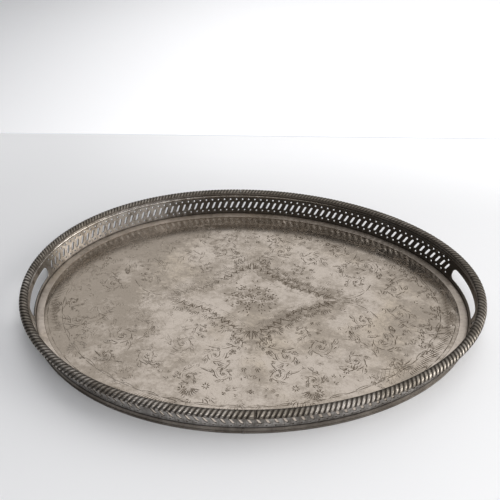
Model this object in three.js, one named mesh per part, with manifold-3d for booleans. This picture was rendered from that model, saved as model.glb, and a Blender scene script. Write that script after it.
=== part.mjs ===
// Oval gallery tray in silver plate: an engraved bed, a pierced gallery that leans outwards and is cut
// for two hand-holes, a gadrooned rim mount along its top edge and a channelled foot wire beneath.
// Millimetres, +Z up, +X along the oval. The origin is on the table under the middle of the oval.
import * as THREE from "three";
import { mergeVertices } from "three/addons/utils/BufferGeometryUtils.js";
import Module from "manifold-3d";

const wasm = await Module();
wasm.setup();

// Overall size, over the rim mounts.
const TRAY_LENGTH = 508;
const TRAY_WIDTH = 369;
const TRAY_HEIGHT = 38;
const END_TAPER = 0.05; // one end of the oval is this share fuller than the middle, the other leaner

// Clearances: the soldered seams between the pieces.
const SEAM = 0.3;
const BUTT_GAP = 0.3;

// Gallery: a pierced strip with a straight outward lean.
const SHEET = 1.3; // thickness of the gallery sheet
const LEAN = 0.187; // outward run for each millimetre of height
const GALLERY_FOOT = 4; // height of the strip's lower edge, inside the foot wire
const GALLERY_TOP = 35; // height of its upper edge, inside the rim mount
const GALLERY_JOINTS = [9.5, 39.5, 111]; // where its lengths meet, counted in units of the pattern
const GALLERY_TURN = 6; // the piercing is set this far round from the long axis

// Pierced pattern: one leaning slot to each unit.
const UNIT_COUNT = 164;
const SLOT_MIDDLE = 18;
const SLOT_HEIGHT = 8.2;
const SLOT_WIDTH = 2.1;
const SLOT_LEAN = 3.5; // how far clockwise, seen from above, the slot's top stands from its foot
const PLAIN_MARGIN = 5; // plain sheet kept between a cut and the nearest slot

// Hand-hole at each end of the gallery.
const HAND_HOLE_LENGTH = 77;
const HAND_HOLE_LOW = 10.2;
const HAND_HOLE_HEIGHT = 13;
const HAND_HOLE_CORNER = 5.5;

// Rim mount: a half-round wire with a channel that seats over the gallery.
const RIM_OVERHANG = 6.3; // past the gallery's outer face
const RIM_WIDTH = 9.8;
const RIM_FLANK = 0.8; // upright part of the wire under its crown
const RIM_CROWN = 3.6;
const RIM_EDGE_CUT = 0.5; // slope of the flank
const RIM_FIRST_JOINT = 0.258;

// Bed: a flat engraved field inside a shallow sloping border.
const BED_SHEET = 1.3;
const BED_BORDER_HEIGHT = 6.3; // top of the border where it meets the gallery
const BED_BORDER_WIDTH = 8.5;
const BED_BORDER_FALL = 0.65;
const BED_STEP = 0.65; // drop from the border to the field
const BED_STEP_RUN = 0.5;

// Foot wire: a moulding with a groove for the gallery and a ledge for the bed.
const FOOT_HEIGHT = 6.3;
const FOOT_TOE = 2.9; // how far its toe stands past the line of the gallery
const FOOT_LEDGE = 6.5; // width of the ledge under the bed
const FOOT_FIRST_JOINT = 0.25;

// Fineness of the curves.
const STATIONS = 120; // straight steps round the whole oval
const CROWN_STEPS = 6;
const CORNER_STEPS = 8;
const CUT_REACH = 8; // how far a cutting slug runs past each face of the gallery

// Faces of the gallery at a height, as offsets from its outer face at the rim.
const rimBase = TRAY_HEIGHT - RIM_CROWN - RIM_FLANK;
const galleryOuter = (z) => LEAN * (z - rimBase);
const galleryInner = (z) => galleryOuter(z) - SHEET;

// The line that everything follows: the gallery's outer face under the rim.
class OvalLine extends THREE.Curve {
  constructor(halfLength, halfWidth) {
    super();
    this.halfLength = halfLength;
    this.halfWidth = halfWidth;
    this.arcLengthDivisions = 4000;
  }

  getPoint(t, target = new THREE.Vector3()) {
    const angle = 2 * Math.PI * t;
    const along = Math.cos(angle);
    const across = Math.sin(angle) * (1 - END_TAPER * along);
    return target.set(this.halfLength * along, this.halfWidth * across, 0);
  }
}
const oval = new OvalLine(TRAY_LENGTH / 2 - RIM_OVERHANG, TRAY_WIDTH / 2 - RIM_OVERHANG);
const girth = oval.getLength();

// A point `along` the line, moved `out` from it and lifted to a height.
function placeOnOval(along, out, height) {
  const share = THREE.MathUtils.euclideanModulo(along / girth, 1);
  const point = oval.getPointAt(share);
  const tangent = oval.getTangentAt(share);
  point.x += tangent.y * out;
  point.y -= tangent.x * out;
  point.z = height;
  return point;
}

// Rolls a geometry made straight, x along, y out and z up, round the oval.
function rollRoundOval(geometry) {
  const position = geometry.getAttribute("position");
  for (let i = 0; i < position.count; i += 1) {
    const rolled = placeOnOval(position.getX(i), position.getY(i), position.getZ(i));
    position.setXYZ(i, rolled.x, rolled.y, rolled.z);
  }
  return geometry;
}

function toSolid(geometry) {
  const bare = geometry.clone();
  bare.deleteAttribute("normal");
  bare.deleteAttribute("uv");
  const merged = mergeVertices(bare, 1e-4);
  return new wasm.Manifold(
    new wasm.Mesh({
      numProp: 3,
      vertProperties: new Float32Array(merged.getAttribute("position").array),
      triVerts: new Uint32Array(merged.index.array),
    }),
  );
}

function toGeometry(solid) {
  const mesh = solid.getMesh();
  const geometry = new THREE.BufferGeometry();
  geometry.setAttribute("position", new THREE.BufferAttribute(mesh.vertProperties, 3));
  geometry.setIndex(new THREE.BufferAttribute(mesh.triVerts, 1));
  geometry.computeVertexNormals();
  return geometry;
}

// A section drawn out across and up, run along the oval between two places.
function runAlongOval(section, from, to) {
  const steps = Math.max(2, Math.round((STATIONS * (to - from)) / girth));
  const straight = new THREE.ExtrudeGeometry(section, {
    depth: to - from,
    steps,
    bevelEnabled: false,
    curveSegments: CROWN_STEPS,
  });
  // The extrusion's own x, y and z become out, up and back along the oval.
  straight.applyMatrix4(new THREE.Matrix4().set(0, 0, -1, to, 1, 0, 0, 0, 0, 1, 0, 0, 0, 0, 0, 1));
  return toSolid(rollRoundOval(straight));
}

const pointsShape = (points) => new THREE.Shape(points.map(([x, y]) => new THREE.Vector2(x, y)));

// A flat outline on the gallery, x along and y up, cut right through the leaning sheet.
function gallerySlug(outline, middle) {
  const slug = new THREE.ExtrudeGeometry(outline, {
    depth: SHEET + 2 * CUT_REACH,
    steps: 1,
    bevelEnabled: false,
    curveSegments: CORNER_STEPS,
  });
  const position = slug.getAttribute("position");
  for (let i = 0; i < position.count; i += 1) {
    const height = position.getY(i);
    const out = galleryInner(height) - CUT_REACH + position.getZ(i);
    position.setXYZ(i, middle + position.getX(i), out, height);
  }
  return toSolid(rollRoundOval(slug));
}

function slotOutline() {
  const low = SLOT_MIDDLE - SLOT_HEIGHT / 2;
  const high = SLOT_MIDDLE + SLOT_HEIGHT / 2;
  const half = SLOT_WIDTH / 2;
  const sway = SLOT_LEAN / 2;
  return pointsShape([
    [sway - half, low],
    [sway + half, low],
    [half - sway, high],
    [-half - sway, high],
  ]);
}

// The long edges are in short runs, so that they follow the oval.
function handHoleOutline() {
  const reach = HAND_HOLE_LENGTH / 2 - HAND_HOLE_CORNER;
  const low = HAND_HOLE_LOW + HAND_HOLE_CORNER;
  const high = HAND_HOLE_LOW + HAND_HOLE_HEIGHT - HAND_HOLE_CORNER;
  const runs = Math.ceil((2 * reach * STATIONS) / girth);
  const quarter = Math.PI / 2;
  const outline = new THREE.Shape();
  outline.absarc(reach, low, HAND_HOLE_CORNER, -quarter, 0, false);
  outline.absarc(reach, high, HAND_HOLE_CORNER, 0, quarter, false);
  for (let run = 1; run < runs; run += 1) {
    outline.lineTo(reach - (2 * reach * run) / runs, high + HAND_HOLE_CORNER);
  }
  outline.absarc(-reach, high, HAND_HOLE_CORNER, quarter, 2 * quarter, false);
  outline.absarc(-reach, low, HAND_HOLE_CORNER, 2 * quarter, 3 * quarter, false);
  for (let run = 1; run < runs; run += 1) {
    outline.lineTo((2 * reach * run) / runs - reach, low - HAND_HOLE_CORNER);
  }
  return outline;
}

const handHolePlaces = [GALLERY_TURN, girth / 2 + GALLERY_TURN];

// The shorter way round between two places.
function distanceRound(a, b) {
  const gap = THREE.MathUtils.euclideanModulo(a - b, girth);
  return Math.min(gap, girth - gap);
}

function gallerySection() {
  return pointsShape([
    [galleryOuter(GALLERY_FOOT), GALLERY_FOOT],
    [galleryOuter(GALLERY_TOP), GALLERY_TOP],
    [galleryInner(GALLERY_TOP), GALLERY_TOP],
    [galleryInner(GALLERY_FOOT), GALLERY_FOOT],
  ]);
}

// One length of the gallery, with its slots and any hand-hole in it.
function galleryLength(from, to) {
  let strip = runAlongOval(gallerySection(), from, to);
  const pitch = girth / UNIT_COUNT;
  const slotHalf = (SLOT_WIDTH + SLOT_LEAN) / 2;
  const slot = slotOutline();
  const hole = handHoleOutline();
  for (let unit = 0; unit < 2 * UNIT_COUNT; unit += 1) {
    const middle = GALLERY_TURN + unit * pitch;
    const inStrip = middle - slotHalf > from + pitch / 8 && middle + slotHalf < to - pitch / 8;
    const toHole = Math.min(...handHolePlaces.map((place) => distanceRound(middle, place)));
    if (inStrip && toHole > HAND_HOLE_LENGTH / 2 + slotHalf + PLAIN_MARGIN / 2) {
      strip = strip.subtract(gallerySlug(slot, middle));
    }
  }
  for (const place of handHolePlaces.flatMap((start) => [start, start + girth])) {
    if (place > from && place < to) {
      strip = strip.subtract(gallerySlug(hole, place));
    }
  }
  return toGeometry(strip);
}

function rimSection() {
  const outer = RIM_OVERHANG;
  const inner = RIM_OVERHANG - RIM_WIDTH;
  const shoulder = rimBase + RIM_FLANK;
  const channelTop = GALLERY_TOP + SEAM;
  const section = new THREE.Shape();
  section.absellipse((outer + inner) / 2, shoulder, RIM_WIDTH / 2, RIM_CROWN, 0, Math.PI, false, 0);
  section.lineTo(inner + RIM_EDGE_CUT, rimBase);
  section.lineTo(galleryInner(rimBase) - SEAM, rimBase);
  section.lineTo(galleryInner(channelTop) - SEAM, channelTop);
  section.lineTo(galleryOuter(channelTop) + SEAM, channelTop);
  section.lineTo(galleryOuter(rimBase) + SEAM, rimBase);
  section.lineTo(outer - RIM_EDGE_CUT, rimBase);
  return section;
}

// Underside of the bed's border at an offset.
function borderUnderside(out) {
  const fall = (BED_BORDER_FALL * (galleryInner(BED_BORDER_HEIGHT) - out)) / BED_BORDER_WIDTH;
  return BED_BORDER_HEIGHT - BED_SHEET - fall;
}

function footSection() {
  const grooveFloor = GALLERY_FOOT - SEAM;
  const toe = galleryOuter(0) + FOOT_TOE;
  const lip = galleryOuter(FOOT_HEIGHT) + SEAM;
  const ledgeOuter = galleryInner(borderUnderside(galleryInner(BED_BORDER_HEIGHT))) - SEAM;
  const ledgeInner = ledgeOuter - FOOT_LEDGE;
  return pointsShape([
    [toe, 0],
    [toe + 0.1 * FOOT_TOE, 0.25 * FOOT_HEIGHT],
    [THREE.MathUtils.lerp(lip, toe, 0.62), 0.6 * FOOT_HEIGHT],
    [THREE.MathUtils.lerp(lip, toe, 0.22), 0.85 * FOOT_HEIGHT],
    [lip, FOOT_HEIGHT],
    [galleryOuter(grooveFloor) + SEAM, grooveFloor],
    [galleryInner(grooveFloor) - SEAM, grooveFloor],
    [ledgeOuter, borderUnderside(ledgeOuter) - SEAM],
    [ledgeInner, borderUnderside(ledgeInner) - SEAM],
    [ledgeInner, 0],
  ]);
}

// The bed in one sheet: turned as a round dish, then drawn out to the oval.
function bedGeometry() {
  const dishRadius = TRAY_WIDTH / 2;
  const edge = galleryInner(BED_BORDER_HEIGHT) - SEAM;
  const borderInner = galleryInner(BED_BORDER_HEIGHT) - BED_BORDER_WIDTH;
  const borderLow = BED_BORDER_HEIGHT - BED_BORDER_FALL;
  const fieldEdge = borderInner - BED_STEP_RUN;
  const field = borderLow - BED_STEP;
  const lowerEdge = galleryInner(borderUnderside(edge)) - SEAM;
  const profile = [
    [-dishRadius, field - BED_SHEET],
    [fieldEdge, field - BED_SHEET],
    [borderInner, borderLow - BED_SHEET],
    [lowerEdge, borderUnderside(lowerEdge)],
    [edge, BED_BORDER_HEIGHT],
    [borderInner, borderLow],
    [fieldEdge, field],
    [-dishRadius, field],
  ];
  const points = profile.map(([out, height]) => new THREE.Vector2(dishRadius + out, height));
  const dish = new THREE.LatheGeometry(points, STATIONS);
  const position = dish.getAttribute("position");
  const flatRadius = dishRadius + fieldEdge;
  for (let i = 0; i < position.count; i += 1) {
    const radius = Math.hypot(position.getX(i), position.getZ(i));
    const turn = Math.atan2(position.getX(i), position.getZ(i)) / (2 * Math.PI);
    const share = THREE.MathUtils.euclideanModulo(turn, 1);
    const inward = Math.min(1, radius / flatRadius);
    const out = Math.max(radius - dishRadius, fieldEdge);
    const placed = placeOnOval(share * girth, out, position.getY(i));
    position.setXYZ(i, placed.x * inward, placed.y * inward, placed.z);
  }
  return toGeometry(toSolid(dish));
}

// Finishes: worn silver plate, brighter on the bed, darker where tarnish holds in the pattern.
const silver = (color, roughness) => new THREE.MeshStandardMaterial({ color, roughness, metalness: 1 });
const bedSilver = silver(0xb3aaa0, 0.36);
const gallerySilver = silver(0x8f8982, 0.32);
const rimSilver = silver(0x77716a, 0.38);
const footSilver = silver(0x7f7973, 0.34);

const tray = new THREE.Group();

function addPiece(name, geometry, material) {
  const piece = new THREE.Mesh(geometry, material);
  piece.name = name;
  tray.add(piece);
}

addPiece("tray_bed", bedGeometry(), bedSilver);

// A joint stands midway between two slots, or takes the place of one.
const jointPlace = (units) => GALLERY_TURN + (units * girth) / UNIT_COUNT;

const galleryNames = ["gallery_back_right", "gallery_left", "gallery_front_right"];
galleryNames.forEach((name, i) => {
  const from = jointPlace(GALLERY_JOINTS[i]);
  const to = jointPlace(GALLERY_JOINTS[i + 1] ?? GALLERY_JOINTS[0] + UNIT_COUNT);
  addPiece(name, galleryLength(from + BUTT_GAP / 2, to - BUTT_GAP / 2), gallerySilver);
});

// Equal lengths of a wire that together go once round the oval.
function addWire(names, section, firstJoint, material) {
  const reach = girth / names.length;
  names.forEach((name, i) => {
    const from = firstJoint * girth + i * reach;
    const wire = runAlongOval(section, from + BUTT_GAP / 2, from + reach - BUTT_GAP / 2);
    addPiece(name, toGeometry(wire), material);
  });
}

const rimPlaces = ["back_left", "front_left", "front_right", "back_right"];
addWire(rimPlaces.map((place) => `rim_mount_${place}`), rimSection(), RIM_FIRST_JOINT, rimSilver);

const footPlaces = ["left", "right"];
addWire(footPlaces.map((place) => `foot_wire_${place}`), footSection(), FOOT_FIRST_JOINT, footSilver);

export default tray;
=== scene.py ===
import math

import bpy
import numpy as np
from mathutils import Matrix, Vector
from mathutils.geometry import delaunay_2d_cdt
from mathutils.kdtree import KDTree


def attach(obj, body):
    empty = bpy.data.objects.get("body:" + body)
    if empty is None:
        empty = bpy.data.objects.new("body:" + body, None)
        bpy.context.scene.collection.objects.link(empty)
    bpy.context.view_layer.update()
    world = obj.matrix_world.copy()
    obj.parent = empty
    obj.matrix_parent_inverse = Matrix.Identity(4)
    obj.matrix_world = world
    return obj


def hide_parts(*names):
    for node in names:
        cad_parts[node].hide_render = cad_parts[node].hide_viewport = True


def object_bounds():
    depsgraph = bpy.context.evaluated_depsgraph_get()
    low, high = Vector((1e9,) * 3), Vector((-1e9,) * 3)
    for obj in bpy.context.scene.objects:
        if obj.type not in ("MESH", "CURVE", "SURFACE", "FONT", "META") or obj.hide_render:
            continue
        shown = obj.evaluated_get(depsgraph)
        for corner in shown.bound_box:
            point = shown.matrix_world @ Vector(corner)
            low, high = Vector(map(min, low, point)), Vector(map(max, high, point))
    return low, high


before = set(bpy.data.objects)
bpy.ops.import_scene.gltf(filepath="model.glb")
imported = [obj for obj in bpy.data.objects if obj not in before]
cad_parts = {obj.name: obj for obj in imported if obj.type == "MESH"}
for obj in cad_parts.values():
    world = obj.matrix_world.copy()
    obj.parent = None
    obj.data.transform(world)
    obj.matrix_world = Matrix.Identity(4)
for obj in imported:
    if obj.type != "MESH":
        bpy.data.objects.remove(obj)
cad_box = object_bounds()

MM = 0.001

# Overall size and the pieces' sections, as in the CAD model.
TRAY_LENGTH = (cad_box[1].x - cad_box[0].x) / MM
TRAY_WIDTH = 369.0
TRAY_HEIGHT = cad_box[1].z / MM
END_TAPER = 0.05
SEAM = 0.3
BUTT_GAP = 0.3
SHEET = 1.3
LEAN = 0.187
GALLERY_FOOT = 4.0
GALLERY_TOP = 35.0
GALLERY_JOINTS = (9.5, 39.5, 111)  # counted in units of the pattern
GALLERY_TURN = 6.0
UNIT_COUNT = 164
SLOT_MIDDLE = 18.0
SLOT_HEIGHT = 8.2
SLOT_WIDTH = 2.1
SLOT_LEAN = 3.5
PLAIN_MARGIN = 5.0
HAND_HOLE_LENGTH = 77.0
HAND_HOLE_LOW = 10.2
HAND_HOLE_HEIGHT = 13.0
HAND_HOLE_CORNER = 5.5
RIM_OVERHANG = 6.3
RIM_WIDTH = 9.8
RIM_FLANK = 0.8
RIM_CROWN = 3.6
RIM_EDGE_CUT = 0.5
RIM_FIRST_JOINT = 0.258
BED_SHEET = 1.3
BED_BORDER_HEIGHT = 6.3
BED_BORDER_WIDTH = 8.5
BED_BORDER_FALL = 0.65
BED_STEP = 0.65
BED_STEP_RUN = 0.5
FOOT_HEIGHT = 6.3
FOOT_TOE = 2.9
FOOT_LEDGE = 6.5
FOOT_FIRST_JOINT = 0.25

# Small round holes above and below each slot.
DOT_RADIUS = 1.02
SLOT_OPENING = 0.28  # how much wider the finished slot is, each side, than the CAD model's
DOT_PLACES = ((1.7, 25.8), (-1.0, 10.7))  # along from the slot's middle, and height

RIM_BASE = TRAY_HEIGHT - RIM_CROWN - RIM_FLANK
BED_FIELD = BED_BORDER_HEIGHT - BED_BORDER_FALL - BED_STEP  # height of the engraved field


def gallery_outer(height):
    return LEAN * (height - RIM_BASE)


def gallery_inner(height):
    return gallery_outer(height) - SHEET


# ---------------------------------------------------------------- the oval line

OVAL_SAMPLES = 8192
_turn = np.linspace(0, 2 * math.pi, OVAL_SAMPLES + 1)
_half_length = TRAY_LENGTH / 2 - RIM_OVERHANG
_half_width = TRAY_WIDTH / 2 - RIM_OVERHANG
_line = np.stack(
    [
        _half_length * np.cos(_turn),
        _half_width * np.sin(_turn) * (1 - END_TAPER * np.cos(_turn)),
    ],
    axis=1,
)
_arc = np.concatenate([[0], np.cumsum(np.linalg.norm(np.diff(_line, axis=0), axis=1))])
GIRTH = float(_arc[-1])
_slope = np.gradient(_line, _turn, axis=0, edge_order=2)
_slope[0] = _slope[-1] = (_slope[0] + _slope[-1]) / 2
_slope /= np.linalg.norm(_slope, axis=1)[:, None]


def on_oval(along, out, height):
    """Points in millimetres from places along the line, out from it and above the table."""
    along, out, height = np.broadcast_arrays(*[np.asarray(v, float) for v in (along, out, height)])
    s = np.mod(along, GIRTH)
    x, y = (np.interp(s, _arc, _line[:, k]) for k in (0, 1))
    tx, ty = (np.interp(s, _arc, _slope[:, k]) for k in (0, 1))
    return np.stack([x + ty * out, y - tx * out, height], axis=-1)


# ---------------------------------------------------------------- mesh helpers


def add_object(name, data):
    made = bpy.data.objects.new(name, data)
    bpy.context.scene.collection.objects.link(made)
    return made


def make_piece(name, points, faces, patina_and_painted_light, material, smooth_over):
    """A mesh object from points in millimetres. Its patina values run from 0 on worn crests to 1
    in recesses; besides tarnish they carry painted shade and painted highlights.
    """
    mesh = bpy.data.meshes.new(name)
    mesh.from_pydata((np.asarray(points) * MM).tolist(), [], faces)
    mesh.update()
    layer = mesh.attributes.new("patina_and_painted_light", "FLOAT", "POINT")
    layer.data.foreach_set("value", np.asarray(patina_and_painted_light, np.float32))
    mesh.shade_smooth()
    mesh.set_sharp_from_angle(angle=math.radians(smooth_over))
    mesh.materials.append(material)
    return add_object(name, mesh)


def claim(piece, node):
    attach(piece, "root")
    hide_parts(node)


def sweep_faces(stations, ring):
    """Quads of a closed section swept past `stations` places, with a face at each end."""
    i, j = np.meshgrid(np.arange(stations - 1), np.arange(ring), indexing="ij")
    k = (j + 1) % ring
    quads = np.stack(
        [i * ring + j, i * ring + k, (i + 1) * ring + k, (i + 1) * ring + j], axis=-1
    ).reshape(-1, 4)
    last = (stations - 1) * ring
    return quads.tolist() + [list(range(ring))[::-1], [last + k for k in range(ring)]]


# ---------------------------------------------------------------- rim mounts

LOBES_FRONT = 70
LOBES_BACK = 81
LOBE_STEPS = 12  # stations to a lobe
LOBE_SLANT = 6.8  # how far clockwise the outer end of a lobe stands from its inner end
LOBE_DEPTH = 0.7
CROWN_STEPS = 18


def rim_profile():
    """The rim's section: out, height, share across the crown and inward normal of each point."""
    middle = RIM_OVERHANG - RIM_WIDTH / 2
    shoulder = RIM_BASE + RIM_FLANK
    rows = []
    for k in range(CROWN_STEPS + 1):
        a = math.pi * (1 - k / CROWN_STEPS)
        out = middle + RIM_WIDTH / 2 * math.cos(a)
        height = shoulder + RIM_CROWN * math.sin(a)
        n = Vector((-math.cos(a) * RIM_CROWN, -math.sin(a) * RIM_WIDTH / 2)).normalized()
        rows.append((out, height, k / CROWN_STEPS, n.x, n.y))
    inner, outer = RIM_OVERHANG - RIM_WIDTH, RIM_OVERHANG
    channel = GALLERY_TOP + SEAM
    rest = [
        (outer - RIM_EDGE_CUT, RIM_BASE),
        (gallery_outer(RIM_BASE) + SEAM, RIM_BASE),
        (gallery_outer(channel) + SEAM, channel),
        (gallery_inner(channel) - SEAM, channel),
        (gallery_inner(RIM_BASE) - SEAM, RIM_BASE),
        (inner + RIM_EDGE_CUT, RIM_BASE),
    ]
    rows += [(o, h, -1, 0, 0) for o, h in rest]
    return np.array(rows)


def smooth(low, high, x):
    t = np.clip((np.asarray(x, float) - low) / (high - low), 0, 1)
    return t * t * (3 - 2 * t)


def rim_mount(name, start, lobes, material):
    begin = start + BUTT_GAP / 2
    length = GIRTH / 4 - BUTT_GAP
    pitch = length / lobes
    stations = lobes * LOBE_STEPS + 1
    place = np.linspace(0, length, stations)
    profile = rim_profile()
    out, height, across, nx, nz = profile.T
    crown = across >= 0
    # The lobes lean round the oval, and stand square only at the joints.
    square = smooth(0, 0.9 * pitch, place) * smooth(0, 0.9 * pitch, length - place)
    lean = -LOBE_SLANT * (smooth(0.0, 1.0, across) * 0.55 + across * 0.45 - 0.5) * crown
    s = place[:, None] + square[:, None] * lean[None, :]
    phase = place / pitch
    lobe = 2 * np.abs(phase - np.round(phase))  # 0 in the cut between lobes, 1 on the crest
    lobe = (1 - (1 - lobe) ** 2.2)[:, None]
    body = smooth(0.08, 0.2, across) * (1 - smooth(0.93, 1.0, across)) * crown
    depth = LOBE_DEPTH * body * (0.55 + 0.45 * smooth(0.2, 0.8, across))
    # Each lobe swells towards its outer end and pinches in at its root.
    narrow = 0.45 * smooth(0.55, 0.15, across) * crown
    cut = depth[None, :] * np.clip(1 - lobe * (1 - narrow[None, :]), 0, 1)
    # A quirk cut between the plain inner fillet and the roots of the lobes.
    quirk = 0.45 * np.exp(-(((across - 0.115) / 0.03) ** 2)) * crown
    cut = cut + quirk[None, :]
    o = out[None, :] + cut * nx[None, :]
    h = height[None, :] + cut * nz[None, :]
    points = on_oval(begin + s, o, h).reshape(-1, 3)
    # Polish is left only on the ridge of each lobe, and the bright ridge is also a painted
    # highlight line. The plain inner fillet is painted mid-dark, and the underside and channel
    # fully dark as painted shade.
    ridge = smooth(0.62, 1.0, lobe) * (body * (0.55 + 0.45 * smooth(0.3, 0.8, across)))[None, :]
    patina_and_painted_light = np.clip(0.78 - 0.66 * ridge, 0, 1)
    patina_and_painted_light = np.where(across[None, :] < 0.09, 0.45, patina_and_painted_light)
    patina_and_painted_light[:, ~crown] = 1.0
    faces = sweep_faces(stations, len(profile))
    return make_piece(name, points, faces, patina_and_painted_light.reshape(-1), material, smooth_over=50)


# ---------------------------------------------------------------- foot wires

FOOT_STATIONS = 260


def foot_profile():
    """The foot wire's section: out, height and patina of each point."""
    groove = GALLERY_FOOT - SEAM
    toe = gallery_outer(0) + FOOT_TOE
    lip = gallery_outer(FOOT_HEIGHT) + SEAM

    def under_border(out):
        fall = BED_BORDER_FALL * (gallery_inner(BED_BORDER_HEIGHT) - out) / BED_BORDER_WIDTH
        return BED_BORDER_HEIGHT - BED_SHEET - fall

    ledge_outer = gallery_inner(under_border(gallery_inner(BED_BORDER_HEIGHT))) - SEAM
    ledge_inner = ledge_outer - FOOT_LEDGE
    # The third column paints light as well as patina: darkest at the toe's bottom edge as contact
    # shadow and in the quirk as shade, and lightest down the middle of the hollow as a painted
    # highlight.
    rows = [(toe - 0.25, 0.0, 1.0)]
    # A round toe bead, a quirk above it and a hollow rising to the lip.
    for k in range(1, 8):
        a = -math.pi / 2 + math.pi * k / 8
        rows.append((toe - 0.25 + 0.5 * math.cos(a), 1.3 + 1.25 * math.sin(a), 0.35))
    rows += [(toe - 0.45, 2.62, 0.9), (toe - 0.5, 2.85, 0.9)]
    for k in range(6):
        t = k / 5
        out = toe - 0.35 + (lip - toe + 0.3) * t**0.8
        rows.append((out, 3.05 + 2.85 * t, 0.1 + 0.5 * abs(t - 0.5)))
    rows += [(lip + 0.12, 6.2, 0.3), (lip, FOOT_HEIGHT, 0.6)]
    rows += [
        (gallery_outer(groove) + SEAM, groove, 1.0),
        (gallery_inner(groove) - SEAM, groove, 1.0),
        (ledge_outer, under_border(ledge_outer) - SEAM, 1.0),
        (ledge_inner, under_border(ledge_inner) - SEAM, 1.0),
        (ledge_inner, 0.4, 0.8),
        (ledge_inner + 0.4, 0.0, 0.6),
    ]
    return np.array(rows)


def foot_wire(name, start, material):
    profile = foot_profile()
    low, high = start + BUTT_GAP / 2, start + GIRTH / 2 - BUTT_GAP / 2
    place = np.linspace(low, high, FOOT_STATIONS)
    points = on_oval(place[:, None], profile[None, :, 0], profile[None, :, 1])
    # The section runs the other way round from the rim's, so its faces are turned over.
    faces = [f[::-1] for f in sweep_faces(FOOT_STATIONS, len(profile))]
    patina_and_painted_light = np.tile(profile[:, 2], FOOT_STATIONS)
    return make_piece(name, points.reshape(-1, 3), faces, patina_and_painted_light, material, smooth_over=40)


# ---------------------------------------------------------------- gallery

HOLE_CHAMFER = 0.42
# Mouldings under the rim: how far each face stands off the sheet at a height.
ROWS = (4.0, 4.6, 7.6, 28.6, 29.1, 29.5, 30.0, 30.6, 31.1, 31.4, 31.8, 32.3, 32.7, 33.2, 35.0)
RELIEF = (0.0, 0.0, 0.0, 0.0, -0.15, 0.40, 0.62, 0.60, 0.35, -0.12, 0.30, 0.42, 0.30, 0.0, 0.0)
UPPER_ROW = 26.0  # one more row of points, in panels that are long enough to bend
LONG_PANEL = 12.0
PANEL_STEP = 4.0
WEB_STEP = 5.0
HAND_HOLE_WEB = 1.5  # sheet beyond each end of a hand-hole in its panel
SLIVER = 0.01  # a gap between panels that needs no panel of its own


def ring(middle, height, radius, count, half_slot=0.0, lean=0.0):
    """Points round a hole: a circle, or a slot with round ends when `half_slot` is given."""
    points = []
    for k in range(count):
        a = 2 * math.pi * (k + 0.5) / count
        x, z = radius * math.cos(a), radius * math.sin(a)
        if half_slot:
            reach = half_slot if z > 0 else -half_slot
            z += reach
        points.append((middle + x - lean * z, height + z))
    return points


def slot_ring(middle, grow):
    half = SLOT_HEIGHT / 2 - SLOT_WIDTH / 2
    lean = SLOT_LEAN / SLOT_HEIGHT
    return ring(middle, SLOT_MIDDLE, SLOT_WIDTH / 2 + SLOT_OPENING + grow, 16, half, lean)


def dot_ring(middle, place, grow):
    return ring(middle + place[0], place[1], DOT_RADIUS + grow, 12)


def hand_hole_ring(middle, grow):
    reach = HAND_HOLE_LENGTH / 2 - HAND_HOLE_CORNER
    centre = HAND_HOLE_LOW + HAND_HOLE_HEIGHT / 2
    rise = HAND_HOLE_HEIGHT / 2 - HAND_HOLE_CORNER
    radius = HAND_HOLE_CORNER + grow
    points = []
    for side, up, first in ((1, -1, -90), (1, 1, 0), (-1, 1, 90), (-1, -1, 180)):
        for k in range(9):
            a = math.radians(first + 90 * k / 8)
            x, z = middle + side * reach + radius * math.cos(a), centre + up * rise
            points.append((x, z + radius * math.sin(a)))
        if side == up:
            for k in range(1, 16):
                x = side * reach * (1 - 2 * k / 16)
                points.append((middle + x, centre + up * (rise + radius)))
    return points


def inside(point, outline):
    x, z = point
    hit = False
    for (x0, z0), (x1, z1) in zip(outline, outline[1:] + outline[:1]):
        if (z0 > z) != (z1 > z) and x < (x1 - x0) * (z - z0) / (z1 - z0) + x0:
            hit = not hit
    return hit


def cell(low, high, holes):
    """A flat panel of sheet with holes in it: points (along, height, cut) and triangles."""
    points, edges = [(side, row) for side in (low, high) for row in ROWS], []
    cuts = [0] * len(points)
    count = len(ROWS)
    for k in range(count):
        edges.append((k, count + k))
        if k + 1 < count:
            edges += [(k, k + 1), (count + k, count + k + 1)]
    if high - low > LONG_PANEL:  # it needs points between its ends, to follow the oval
        steps = round((high - low) / PANEL_STEP)
        outlines = [outline_of(HOLE_CHAMFER + 0.3) for outline_of in holes]
        for k in range(1, steps):
            along = low + (high - low) * k / steps
            for row in (*ROWS, UPPER_ROW):
                if not any(inside((along, row), outline) for outline in outlines):
                    points.append((along, row))
                    cuts.append(0)
    for outline_of in holes:
        for grow, cut in ((HOLE_CHAMFER, 0), (0.0, 1)):
            outline = outline_of(grow)
            first = len(points)
            points += outline
            cuts += [cut] * len(outline)
            edges += [(first + k, first + (k + 1) % len(outline)) for k in range(len(outline))]
    made = delaunay_2d_cdt([Vector(p) for p in points], edges, [], 0, 1e-6)
    verts, tris, origins = made[0], made[2], made[3]
    shrunk = [outline_of(-0.01) for outline_of in holes]
    keep = []
    for tri in tris:
        middle = sum((verts[i] for i in tri), Vector((0, 0))) / 3
        if not any(inside(middle, outline) for outline in shrunk):
            keep.append(list(tri))
    cut_of = [max((cuts[i] for i in origin), default=0) for origin in origins]
    return [(v.x, v.y, cut) for v, cut in zip(verts, cut_of)], keep


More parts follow.
